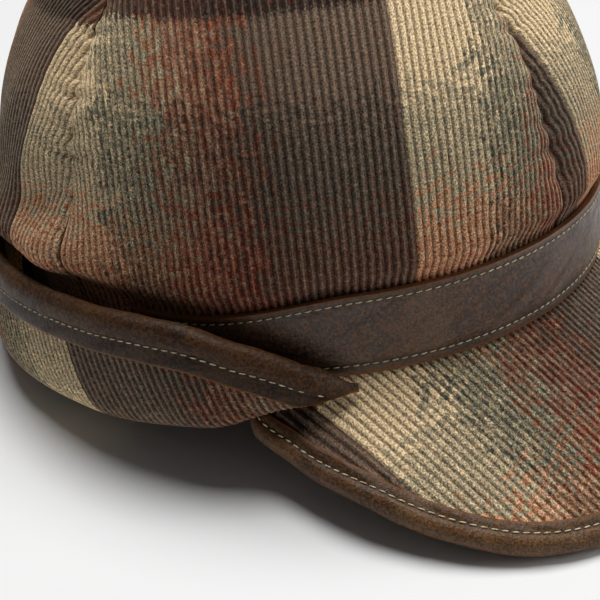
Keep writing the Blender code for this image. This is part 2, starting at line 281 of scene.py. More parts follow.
class Workshop:
    """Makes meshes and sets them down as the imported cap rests."""

    @staticmethod
    def finished(name: str, form: bmesh.types.BMesh, finishes: list[Finish]) -> Piece:
        """Turn a form to an object.

        Args:
            name: The object's name.
            form: The form, used up here.
            finishes: Its materials, in the order of the faces' indices.

        Returns:
            The new object.
        """
        mesh = bpy.data.meshes.new(name)
        form.to_mesh(mesh)
        form.free()
        for finish in finishes:
            mesh.materials.append(finish)
        piece = bpy.data.objects.new(name, mesh)
        bpy.context.scene.collection.objects.link(piece)
        LOG.info("%s: %d faces", name, len(mesh.polygons))
        return piece

    @staticmethod
    def laid_out(mesh: bpy.types.Mesh) -> Array:
        """Read a mesh's points.

        Args:
            mesh: The mesh.

        Returns:
            One row for each vertex.
        """
        points = np.empty(len(mesh.vertices) * 3)
        mesh.vertices.foreach_get("co", points)
        return points.reshape(-1, 3)

    @staticmethod
    def set_down(piece: Piece, points: Array, slot: Slot) -> Piece:
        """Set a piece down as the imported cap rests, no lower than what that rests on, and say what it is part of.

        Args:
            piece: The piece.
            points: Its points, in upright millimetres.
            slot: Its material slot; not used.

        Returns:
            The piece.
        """
        matrix = np.array(REST)
        resting = points @ matrix[:3, :3].T + matrix[:3, 3]
        resting[:, 2] = np.maximum(resting[:, 2], 0.0)
        piece.data.vertices.foreach_set("co", (resting * MM).ravel())
        piece.data.polygons.foreach_set("use_smooth", np.ones(len(piece.data.polygons), bool))
        piece.data.update()
        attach(piece, "root")
        return piece

    def wall(self, name: str, laid: Laid, finishes: list[Finish], slot: Slot) -> Piece:
        """Make a closed wall from two grids bridged round their rims.

        Args:
            name: The piece's name.
            laid: The sheet, the points of its outer and inner faces, and its cloth coordinates.
            finishes: The finish of the faces, and after it that of the cut edge if it has its own.
            slot: Its material slot.

        Returns:
            The new object.
        """
        sheet, (outer, inner), cloth = laid
        form = bmesh.new()
        for depth in (0, -1):
            below = Matrix.Translation((0, 0, depth))
            bmesh.ops.create_grid(form, x_segments=sheet.columns, y_segments=sheet.rows, size=0.5, matrix=below)
        rims = [edge for edge in form.edges if edge.is_boundary]
        for face in bmesh.ops.bridge_loops(form, edges=rims)["faces"]:
            face.material_index = len(finishes) - 1
        for edge in rims:
            edge.smooth = False
        bmesh.ops.recalc_face_normals(form, faces=form.faces)
        piece = self.finished(name, form, finishes)
        flat = self.laid_out(piece.data)
        column = np.rint((flat[:, 0] + 0.5) * sheet.columns).astype(int)
        row = np.rint((flat[:, 1] + 0.5) * sheet.rows).astype(int)
        place = row * (sheet.columns + 1) + column
        corner = np.empty(len(piece.data.loops), int)
        piece.data.loops.foreach_get("vertex_index", corner)
        piece.data.uv_layers.new(name="cloth").data.foreach_set("uv", (cloth[place[corner]] * MM).ravel())
        return self.set_down(piece, np.where(flat[:, 2:] < -0.5, inner[place], outer[place]), slot)


@dataclass
class Crown:
    """Four quarter panels of corduroy, gathered into each other at the seams.

    Attributes:
        tuck: How far the cloth tucks in behind the band, over the rise above it.
        sag: How far it sags out over the flap, from these degrees round and about this height.
        pucker_starts: Up the cloth from the hem, where the gathers set in, then where they ease and end.
        pucker_lean: How the bumps lean, in radians of their wave for each millimetre from the seam.
        crease: Width and height of the tight crease at a seam, and the least share of it without gathers.
        outline: Rows of height and spread, as shares of the height and of the ring.
        folds: Rows of angle, height share, half length share, lean in degrees, and depth share.
        cuts: For each panel its name, its middle in quarter turns, and where the plaid falls on it.
    """

    height: float = 130.0
    thickness: float = 2.0
    seam: Bell = (6.0, -1.6)
    fold_depth: float = 2.6
    fold_width: float = 8.0
    ridge_share: float = 0.45
    off_line: float = 0.6
    tuck: float = 3.0
    tuck_rise: float = 8.0
    sag: float = 6.0
    sag_starts: Step = (76.0, 98.0)
    sag_height: float = 31.0
    sag_width: float = 9.0
    relief_starts: Step = (0.20, 0.32)
    relief_ends: Step = (0.93, 0.99)
    pucker_height: float = 1.5
    pucker_length: float = 6.8
    pucker_reach: float = 7.5
    pucker_lean: float = 0.16
    pucker_crest: float = 0.4
    pucker_starts: Step = (26.0, 44.0)
    pucker_eases: Step = (105.0, 150.0)
    eased_share: float = 0.65
    pucker_ends: Step = (160.0, 178.0)
    unevenness: Waves = ((1.4, 31.0, 0.4), (0.9, 17.0, 2.1))
    mean_strength: float = 0.6
    strengths: Waves = ((0.3, 43.0, 1.0), (0.3, 16.0, 0.3))
    crease: Bell = (1.6, -1.0)
    least_crease: float = 0.35
    swells: Waves = ((0.35, 61.0, 0.5), (0.2, 27.0, 2.0))
    hidden: Step = (-6.0, 0.0)
    half_ribs: int = 35
    columns_per_rib: int = 6
    rows: int = 72
    rows_crowd: float = 1.2
    outline: Table = (
        (0.008, 1.000), (0.092, 1.000), (0.177, 1.000), (0.215, 1.003), (0.270, 1.002), (0.338, 0.987), (0.472, 0.936),
        (0.608, 0.850), (0.725, 0.731), (0.822, 0.587), (0.899, 0.427), (0.955, 0.264), (0.988, 0.112), (1.000, 0.006),
    )  # fmt: skip
    folds: Table = (
        (100.0, 0.36, 0.16, -38.0, 1.00),
        (-104.0, 0.37, 0.15, 34.0, 0.80),
        (152.0, 0.33, 0.14, 20.0, 0.70),
        (-146.0, 0.45, 0.12, -30.0, 0.60),
        (18.0, 0.30, 0.10, 24.0, 0.45),
        (-24.0, 0.33, 0.11, -20.0, 0.55),
    )
    cuts: tuple[tuple[str, float, float, float], ...] = (
        ("front_right", 0.5, 24.0, 9.0),
        ("back_right", 1.5, 54.0, 12.0),
        ("back_left", 2.5, 6.0, 2.0),
        ("front_left", 3.5, -64.0, 11.0),
    )

    def __post_init__(self) -> None:
        """Measure the outline, so that cloth can be laid along it."""
        self.row_numbers = np.arange(len(self.outline))
        self.heights, self.spreads = zip(*self.outline)
        self.places = np.linspace(0, self.row_numbers[-1], 1200)
        rise = curve_through(self.row_numbers, self.heights, self.places) * self.height
        self.reach = curve_through(self.row_numbers, self.spreads, self.places)
        steps = np.hypot(np.diff(rise), np.diff(self.reach) * RING.mean)
        self.climb = np.concatenate([[0.0], np.cumsum(steps)])

    def smooth_point(self, angle: Array, place: Array) -> Array:
        """Find the dome's face without its seams and folds.

        Args:
            angle: Angles from the front.
            place: Places that run over the outline's rows.

        Returns:
            One point for each angle.
        """
        height = curve_through(self.row_numbers, self.heights, place) * self.height
        spread = curve_through(self.row_numbers, self.spreads, place)
        tuck = self.tuck * (1 - eased(0.0, self.tuck_rise, height - RING.band_top(angle)))
        return RING.point(angle, (spread - 1) * RING.mean - tuck, height)

    def soft_relief(self, angle: Array, point: Array) -> Array:
        """Work out how far the cloth stands out at its wide seam valleys and soft folds.

        Args:
            angle: Angles from the front.
            point: The dome's points there.

        Returns:
            The relief at each point.
        """
        radius = np.hypot(point[:, 0], point[:, 1])
        share = point[:, 2] / self.height
        from_seam = np.abs((angle + TURN / 8) % (TURN / 4) - TURN / 8) * radius
        free = eased(*self.relief_starts, share) * (1 - eased(*self.relief_ends, share))
        relief = bell(from_seam, *self.seam)
        for degrees, height, half_length, lean, depth in self.folds:
            level = wrapped(angle - math.radians(degrees)) * radius
            rise = point[:, 2] - height * self.height
            tilt = math.radians(lean)
            along = level * math.cos(tilt) + rise * math.sin(tilt)
            across = (rise * math.cos(tilt) - level * math.sin(tilt)) / self.fold_width
            shape = self.ridge_share * bell(across - self.off_line, 1.0) - bell(across + self.off_line, 1.0)
            relief += self.fold_depth * depth * bell(along, half_length * self.height) * shape
        over_flap = eased(*self.sag_starts, np.degrees(np.abs(wrapped(angle))))
        return relief * free + self.sag * over_flap * bell(point[:, 2] - self.sag_height, self.sag_width)

    def puckers(self, from_seam: Array, climb: Array, seam: Array) -> Array:
        """Work out the gathers along the seams: a tight crease, and bumps that die away from it.

        Args:
            from_seam: Distances from the nearest seam, around the crown.
            climb: Distances up the outline.
            seam: The number of the nearest seam, which sets how its bumps fall.

        Returns:
            The relief at each point.
        """
        uneven = waves(climb + 37 * seam, self.unevenness)
        phase = TURN * (climb + uneven) / self.pucker_length - self.pucker_lean * from_seam
        strength = self.mean_strength + waves(climb + 23 * seam, self.strengths)
        ease = (1 - self.eased_share * eased(*self.pucker_eases, climb)) * (1 - eased(*self.pucker_ends, climb))
        reach = eased(*self.pucker_starts, climb) * ease
        dips = self.pucker_crest - (0.5 - 0.5 * np.sin(phase)) ** 2
        bumps = self.pucker_height * strength * np.exp(-from_seam / self.pucker_reach) * dips * reach
        return bumps + bell(from_seam, *self.crease) * (self.least_crease + (1 - self.least_crease) * reach)

    def panel(self, quarter: float, cut: Pair) -> Laid:
        """Lay out one quarter panel, its columns along the ribs.

        Args:
            quarter: The panel's middle, in quarter turns.
            cut: Where the plaid falls on it, across and up.

        Returns:
            The sheet, its outer and inner points, and its cloth coordinates.
        """
        sheet = Sheet(2 * self.half_ribs * self.columns_per_rib, self.rows)
        share = 1 - 2 * sheet.across
        start = np.nonzero(self.reach >= 1.0)[0][-1]
        top = np.interp(-np.abs(share), -self.reach[start:], self.climb[start:])
        climb = (1 - (1 - sheet.along) ** self.rows_crowd) * top
        place = np.interp(climb, self.climb, self.places)
        spread = np.clip(np.interp(climb, self.climb, self.reach), 1e-4, 1.0)
        radius = spread * RING.mean
        half = TURN / 8 - np.arctan2(0.5 * RING.piece_gap, radius)
        turn = np.clip(share / spread, -1.0, 1.0)
        angle = quarter * TURN / 4 + turn * half
        point, out = self.smooth_point(angle, place), RING.outward(angle)
        rise = self.smooth_point(angle, place + 0.02) - self.smooth_point(angle, place - 0.02)
        normal = unit(out * rise[:, 2:] - UP * np.sum(rise * out, axis=-1, keepdims=True))
        across = share * self.half_ribs * RIBS.pitch
        relief = self.soft_relief(angle, point)
        shown = eased(*self.hidden, point[:, 2] - RING.band_top(angle))
        swell = waves(across + 0.6 * climb + 50 * quarter, self.swells)
        gathers = self.puckers((1 - np.abs(turn)) * half * radius, climb, (quarter - 0.5 + (turn > 0)) % 4)
        outer = point + normal * (relief + (gathers + RIBS.relief(across) + swell) * shown)[:, None]
        inner = point + normal * (relief - self.thickness)[:, None]
        return sheet, (outer, inner), np.stack([RIBS.cut_at(across, cut[0]), climb + cut[1]], axis=-1)

    def build(self, shop: Workshop, corduroy: Finish) -> None:
        """Make the four panels.

        Args:
            shop: Makes the meshes.
            corduroy: Their finish.
        """
        for name, quarter, *cut in self.cuts:
            piece = shop.wall(f"panel_{name}", self.panel(quarter, cut), [corduroy], Slot.CORDUROY)
            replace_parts(piece, f"crown_panel_{name}")


@dataclass(frozen=True)
class Stitching:
    """Rows of thick waxed thread stitches.

    Attributes:
        margins: How far in from a row's ends its first and last stitches lie, in pitches.
        apart: How far apart the stitches are made, before they are sewn in place.
    """

    length: float = 2.05
    width: float = 0.44
    height: float = 0.38
    pitch: float = 2.7
    slant: float = math.radians(5)
    margins: Pair = (0.6, 0.5)
    apart: float = 2.0
    sides: int = 8
    rings: int = 6

    def frames(self, points: Array, normals: Array) -> Array:
        """Work out where each stitch of a row lies.

        Args:
            points: The points of the row.
            normals: The normals there.

        Returns:
            For each stitch its middle, and its three axes with their lengths.
        """
        run = np.concatenate([[0.0], np.cumsum(np.linalg.norm(np.diff(points, axis=0), axis=-1))])
        middle = np.arange(self.margins[0] * self.pitch, run[-1] - self.margins[1] * self.pitch, self.pitch)
        places = (middle - 0.5 * self.length, middle + 0.5 * self.length, middle)
        start, end, at = (np.stack([np.interp(place, run, axis) for axis in points.T], -1) for place in places)
        up = unit(np.stack([np.interp(middle, run, axis) for axis in normals.T], -1))
        along = unit(end - start)
        along = unit(along + math.tan(self.slant) * np.cross(up, along))
        side = unit(np.cross(up, along))
        return np.stack([at, along * self.length, side * self.width, np.cross(along, side) * self.height], axis=1)

    def sewn(self, shop: Workshop, name: str, rows: Rows, thread: Finish, slot: Slot) -> None:
        """Sew rows of stitches as one piece.

        Args:
            shop: Makes the object.
            name: The piece's name.
            rows: The points of each row and the normals there.
            thread: The stitches' finish.
            slot: Its material slot.
        """
        frames = np.concatenate([self.frames(*row) for row in rows])
        form, made = bmesh.new(), 1
        bmesh.ops.create_uvsphere(form, u_segments=self.sides, v_segments=self.rings, radius=0.5)
        # Blender gives a sphere's faces in no fixed order, so they are put in one here
        form.faces.sort(key=lambda face: face.calc_center_median().dot(Vector((1, 10, 100))))
        while made < len(frames):
            more = bmesh.ops.duplicate(form, geom=[*form.verts, *form.edges, *form.faces])["geom"]
            copied = [item for item in more if isinstance(item, bmesh.types.BMVert)]
            bmesh.ops.translate(form, verts=copied, vec=(made * self.apart, 0, 0))
            made *= 2
        spare = [vertex for vertex in form.verts if vertex.co.x > (len(frames) - 0.5) * self.apart]
        bmesh.ops.delete(form, geom=spare, context="VERTS")
        piece = shop.finished(name, form, [thread])
        flat = shop.laid_out(piece.data)
        number = np.rint(flat[:, 0] / self.apart).astype(int)
        flat[:, 0] -= number * self.apart
        shop.set_down(piece, frames[number, 0] + np.einsum("ij,ijk->ik", flat, frames[number, 1:]), slot)


STITCHING = Stitching()


@dataclass(kw_only=True)
class StitchedLeather:
    """A leather piece with rows of stitches.

    Attributes:
        names: The leather's name, its stitches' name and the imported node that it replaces.
        slot: Its material slot.
    """

    names: tuple[str, str, str]
    slot: Slot

    def build(self, shop: Workshop, finishes: list[Finish], thread: Finish) -> None:
        """Make the leather and its stitches.

        Args:
            shop: Makes the meshes.
            finishes: The leather, and its raw edge.
            thread: The stitches' finish.
        """
        leather = shop.wall(self.names[0], self.laid(), finishes, self.slot)
        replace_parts(leather, self.names[2])
        STITCHING.sewn(shop, self.names[1], self.seams(), thread, self.slot)


@dataclass
class LeatherBand(StitchedLeather):
    """The leather band across the front, a little hollow at mid height.

    Attributes:
        lower_share: How much a distance from the lower edge counts, because its seam lies farther in.
        stitch_rise: How far the stitches' middles stand out of their groove.
        seam_share: The share of the half angle that the stitches reach.
        crease_angle: Degrees round to the middle of the creases where the flap presses.
    """

    thickness: float = 2.2
    half_angle: float = math.radians(78)
    hollow: float = 0.5
    stitch_inset: float = 1.8
    stitch_rise: float = 0.16
    lower_share: float = 0.6
    seam_share: float = 0.985
    groove: Bell = (0.7, -0.35)
    rounding: Bell = (0.7, -0.6)
    pillow: float = 0.35
    crease_angle: float = 52.0
    crease_height: float = 7.0
    crease_depth: float = 0.3
    crease_pitch: float = 2.1
    crease_sway: Waves = ((0.6, 17.0, 0.0),)
    softness: Waves = ((0.16, 23.0, 0.3), (0.10, 11.0, 1.7))
    columns: int = 420
    rows: int = 30

    def surface(self, angle: Array, height: Array) -> Array:
        """The smooth outer face."""
        return RING.point(angle, -self.hollow * (1 - (2 * height / RING.band_top(angle) - 1) ** 2), height)

    def from_edge(self, angle: Array, height: Array) -> Array:
        """Distances in from the nearest cut edge."""
        return np.minimum(self.lower_share * height, RING.band_top(angle) - height)

    def relief(self, angle: Array, height: Array) -> Array:
        """Work out the grooves under the stitches, the rounded edges, and the creases where the flap presses.

        Args:
            angle: Angles from the front.
            height: Heights above the band's lower edge.

        Returns:
            The relief at each point.
        """
        from_edge, along = self.from_edge(angle, height), angle * RING.mean
        edges = bell(from_edge - self.stitch_inset, *self.groove) + bell(from_edge, *self.rounding)
        pillow = self.pillow * np.sin(math.pi * np.clip(height / RING.band_top(angle), 0, 1)) ** 2
        creased = bell(np.degrees(np.abs(angle)) - self.crease_angle, 10.0) * bell(height - self.crease_height, 6.0)
        run = (height + 0.05 * along + waves(along, self.crease_sway)) / self.crease_pitch
        creases = self.crease_depth * creased * np.sin(TURN * run)
        soft = waves(along + 2 * height, self.softness)
        return edges + pillow + (creases + soft) * eased(self.stitch_inset, self.stitch_inset + 2.5, from_edge)

    def laid(self) -> Laid:
        """Lay out the band.

        Returns:
            Its sheet, its two faces, and its distances from the seams and from the cut edges.
        """
        sheet = Sheet(self.columns, self.rows)
        angle = (1 - 2 * sheet.across) * self.half_angle
        height = sheet.along * RING.band_top(angle)
        point, normal = self.surface(angle, height), RING.outward(angle)
        outer = point + normal * self.relief(angle, height)[:, None]
        from_edge = self.from_edge(angle, height)
        sewn = np.stack([from_edge - self.stitch_inset, from_edge], axis=-1)
        return sheet, (outer, point - normal * self.thickness), sewn

    def seams(self) -> Rows:
        """Find the lines of the two rows of stitches.

        Returns:
            Their points and normals.
        """
        angle = np.linspace(self.seam_share * self.half_angle, -self.seam_share * self.half_angle, 600)
        normal, rows = RING.outward(angle), []
        for height in (0 * angle + self.stitch_inset / self.lower_share, RING.band_top(angle) - self.stitch_inset):
            out = self.relief(angle, height)[:, None] + self.stitch_rise
            rows.append((self.surface(angle, height) + normal * out, normal))
        return rows


@dataclass
class LeatherEdge(StitchedLeather):
    """Leather wrapped over a free edge: an outer lip, a roll and an inner lip.

    Attributes:
        follow: The face that is wrapped, from an angle and a distance from its edge.
        angles: The angle where the leather starts and where it ends.
        board: How thick the wrapped edge is.
        lips: The outer and the inner lip's width at each angle.
        seam_depths: How far the stitches lie in from the free edge, on the outer lip and on the inner one.
        taper: The angle over which each end thins to a flat tip.
        tip_share: The share of its thickness that is left at a tip.
        outer_rows: The share of the sheet's rows on the outer lip.
        inner_rows: The share on the inner lip.
        pressed: How low the strip past the seam is pressed, over what distance across the seam.
        puff: How the roll swells, this far from the seam.
        lip_margin: How far past its stitches a lip has to reach to carry any.
        stitch_sink: How far the stitches' middles lie under the leather's face.
    """

    follow: Surface
    angles: Pair
    board: float
    lips: tuple[Callable[[Array], Array], ...]
    seam_depths: Pair
    taper: float
    sheet: Sheet
    leather: float = 1.2
    tip_share: float = 0.2
    outer_rows: float = 0.45
    inner_rows: float = 0.25
    steps: Pair = (math.radians(1.0), 1.2)
    groove: Bell = (0.7, -0.3)
    pressed: float = 0.3
    pressed_over: Step = (-0.6, 1.0)
    rounding: Bell = (0.5, -0.45)
    puff: Bell = (2.5, 0.3)
    puff_at: float = 3.0
    softness: Waves = ((0.10, 19.0, 0.0), (0.07, 8.3, 2.0))
    lip_margin: float = 0.6
    stitch_sink: float = 0.12

    @property
    def clear(self) -> float:
        """How far the leather's outer face stands off the face that it wraps."""
        return RING.wrap_gap + self.leather

    def angle_at(self, across: Array) -> Array:
        """The angle at a share of the way along."""
        return self.angles[0] + across * (self.angles[1] - self.angles[0])

    def slim(self, angle: Array) -> Array:
        """The share of its thickness that the edge has at each angle, less at its tips."""
        from_end = np.minimum(np.abs(angle - self.angles[0]), np.abs(angle - self.angles[1]))
        return (self.tip_share + (1 - self.tip_share) * eased(0.0, self.taper, from_end))[:, None]

    def off_face(self, angle: Array, distance: Array, side: Array | float) -> tuple[Array, Array]:
        """Stand off the wrapped face.

        Args:
            angle: Angles along the edge.
            distance: Distances in from the edge.
            side: How far to stand off, less than nothing for the far side.

        Returns:
            The points, and the wrapped face's outward normals there.
        """
        normal = normals_of(self.follow, angle, np.maximum(distance, self.steps[1]), self.steps)
        normal = facing(normal, RING.outward(angle) + UP)
        return self.follow(angle, distance) + normal * side, normal

    def surface(self) -> tuple[Array, Array]:
        """Work out the leather's outer face over the whole sheet.

        Returns:
            Its points and its normals.
        """
        angle, along = self.angle_at(self.sheet.across), self.sheet.along
        outer_end, inner_start = self.outer_rows, 1 - self.inner_rows
        on_outer, on_inner = (along < outer_end)[:, None], (along > inner_start)[:, None]
        outer_distance = self.lips[0](angle) * np.clip(1 - along / outer_end, 0, 1)
        inner_distance = self.lips[1](angle) * np.clip((along - inner_start) / self.inner_rows, 0, 1)
        clear, board = self.clear * self.slim(angle), self.board * self.slim(angle)
        outer, outer_normal = self.off_face(angle, outer_distance, clear)
        inner, inner_normal = self.off_face(angle, inner_distance, -board - clear)
        edge, normal = self.off_face(angle, 0 * angle, 0.0)
        out = unit(edge - self.follow(angle, 0 * angle + 2 * self.steps[1]))
        turn = math.pi * np.clip((along - outer_end) / (inner_start - outer_end), 0, 1)[:, None]
        round_normal = normal * np.cos(turn) + out * np.sin(turn)
        rolled = edge - normal * 0.5 * board + round_normal * (0.5 * board + clear)
        points = np.where(on_outer, outer, np.where(on_inner, inner, rolled))
        return points, np.where(on_outer, outer_normal, np.where(on_inner, -inner_normal, round_normal))

    def laid(self) -> Laid:
        """Lay out the leather.

        Returns:
            Its sheet, its two faces, and its distances from the seams and from the cut edges.
        """
        point, normal = self.surface()
        angle, ends = self.angle_at(self.sheet.across), self.sheet.lengths(point)
        seams = [end - lip(angle) + depth for end, lip, depth in zip(ends, self.lips, self.seam_depths)]
        nearest, past_seam = np.minimum(*ends), np.where(ends[0] < ends[1], *seams)
        groove = bell(past_seam, *self.groove) - self.pressed * (1 - eased(*self.pressed_over, past_seam))
        rounded, puffed = bell(nearest, *self.rounding), bell(past_seam - self.puff_at, *self.puff)
        soft = waves(angle * RING.mean + 3 * ends[0], self.softness)
        relief = (groove + rounded + puffed + soft)[:, None] * self.slim(angle)
        sewn = np.stack([past_seam, nearest], axis=-1)
        return self.sheet, (point + normal * relief, point - normal * self.leather * self.slim(angle)), sewn

    def seams(self) -> Rows:
        """Find the lines of the stitches on both lips, where a lip is wide enough.

        Returns:
            Their points and normals.
        """
        every, rows = np.linspace(*self.angles, 900)[6:-6], []
        for number, (lip, depth) in enumerate(zip(self.lips, self.seam_depths)):
            angle = every[lip(every) > depth + self.lip_margin]
            side = (self.clear - self.stitch_sink) * self.slim(angle)
            if number:
                side = -self.board - self.clear + self.stitch_sink
            point, normal = self.off_face(angle, 0 * angle + depth, side)
            rows.append((point, -normal if number else normal))
        return rows


@dataclass
class Peak:
    """The corduroy covered board of the peak, its ribs running to the front.

    Attributes:
        roll: How far the leather's roll reaches past the board, which fades in over a share of the reach.
        lips: The most that the binding's outer and inner lips measure.
        lip_most: The most of the peak's reach that a lip takes.
        outline: Rows of turn and reach, as shares of the half angle and of the reach.
        cut: Where the plaid falls on it, across and along.
    """

    reach: float = 52.0
    slope: float = math.radians(33)
    corner_steeper: float = math.radians(18)
    corner_start: float = 0.7
    half_angle: float = math.radians(59.5)
    board: float = 3.4
    band_leather: float = 2.2
    roll: float = 3.3
    roll_fade: float = 0.3
    binding_half_angle: float = math.radians(59.2)
    lips: Pair = (4.9, 7.0)
    lip_most: float = 0.5
    seam_depths: Pair = (1.7, 5.0)
    taper: float = math.radians(2)
    rows: int = 36
    columns_per_rib: int = 6
    binding_grid: tuple[int, int] = (440, 20)
    cut: Pair = (-76.0, 178.0)
    outline: Table = (
        (0.00, 1.000), (0.20, 0.992), (0.37, 0.955), (0.48, 0.890), (0.59, 0.770),
        (0.68, 0.645), (0.78, 0.480), (0.88, 0.300), (0.96, 0.165), (1.00, 0.050),
    )  # fmt: skip

    def edge_offset(self, angle: Array) -> Array:
        """How far the board's outer edge lies from the ring."""
        share = curve_through(*zip(*self.outline), np.abs(angle) / self.half_angle)
        return share * self.reach - self.roll * eased(0.0, self.roll_fade, share)

    def slope_at(self, angle: Array) -> Array:
        """The board's slope, steeper towards its corners."""
        return self.slope + self.corner_steeper * eased(self.corner_start, 1.0, np.abs(angle) / self.half_angle)

    def top_at(self, x: Array, y: Array) -> Array:
        """The board's upper face over a point of its plan."""
        angle, offset = RING.about(x, y)
        return np.stack([x, y, -RING.piece_gap - np.tan(self.slope_at(angle)) * (offset + self.band_leather)], -1)

    def inward(self, angle: Array, distance: Array) -> Array:
        """Find points of the upper face, square in from its edge.

        Args:
            angle: Angles from the front.
            distance: Distances in from the edge.

        Returns:
            One point for each angle.
        """
        before, plan, after = (RING.point(a, self.edge_offset(a), 0.0) for a in (angle - 0.01, angle, angle + 0.01))
        run = after - before
        inward = facing(unit(np.stack([run[:, 1], -run[:, 0], 0 * angle], -1)), -plan)
        place = plan + inward * (distance * np.cos(self.slope_at(angle)))[:, None]
        return self.top_at(place[:, 0], place[:, 1])

    def lip(self, most: float) -> Callable[[Array], Array]:
        """How wide a lip of the binding is at each angle: it narrows where the peak does."""
        return lambda angle: np.minimum(most, self.lip_most * (self.edge_offset(angle) + self.band_leather))

    def laid(self) -> Laid:
        """Lay out the board with its columns along the ribs.

        Returns:
            Its sheet, its two faces, and its cloth coordinates.
        """
        angles = np.linspace(-self.half_angle, self.half_angle, 1601)
        edge = RING.point(angles, self.edge_offset(angles), 0.0)
        band = RING.point(angles, -self.band_leather, 0.0)
        right, left = edge[:, 0].argmax(), edge[:, 0].argmin()
        chains = edge[right : left + 1][::-1], np.concatenate([edge[left:], band[::-1], edge[: right + 1]])
        half_ribs = int(edge[right, 0] / RIBS.pitch)
        sheet = Sheet(2 * half_ribs * self.columns_per_rib, self.rows)
        x = (2 * sheet.across - 1) * half_ribs * RIBS.pitch
        far, near = (np.interp(x, chain[:, 0], chain[:, 1]) for chain in chains)
        y = far + sheet.along * (near - far)
        point = self.top_at(x, y)
        normal = facing(normals_of(self.top_at, x, y, (0.3, 0.3)), UP)
        ribs = RIBS.relief(x)[:, None]
        faces = point + normal * ribs, point - normal * (self.board + ribs)
        return sheet, faces, np.stack([RIBS.cut_at(-x, self.cut[0]), y + self.cut[1]], axis=-1)

    def binding(self) -> LeatherEdge:
        """Design the leather round the board's free edge.

        Returns:
            The leather.
        """
        ends = -self.binding_half_angle, self.binding_half_angle
        lips, sheet = tuple(self.lip(most) for most in self.lips), Sheet(*self.binding_grid)
        sizes = self.inward, ends, self.board, lips, self.seam_depths, self.taper, sheet
        return LeatherEdge(*sizes, names=("peak_edge", "peak_stitches", "peak_binding"), slot=Slot.BROWN_LEATHER)

    def build(self, shop: Workshop, corduroy: Finish) -> None:
        """Make the board."""
        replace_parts(shop.wall("peak_board", self.laid(), [corduroy], Slot.CORDUROY), "peak")


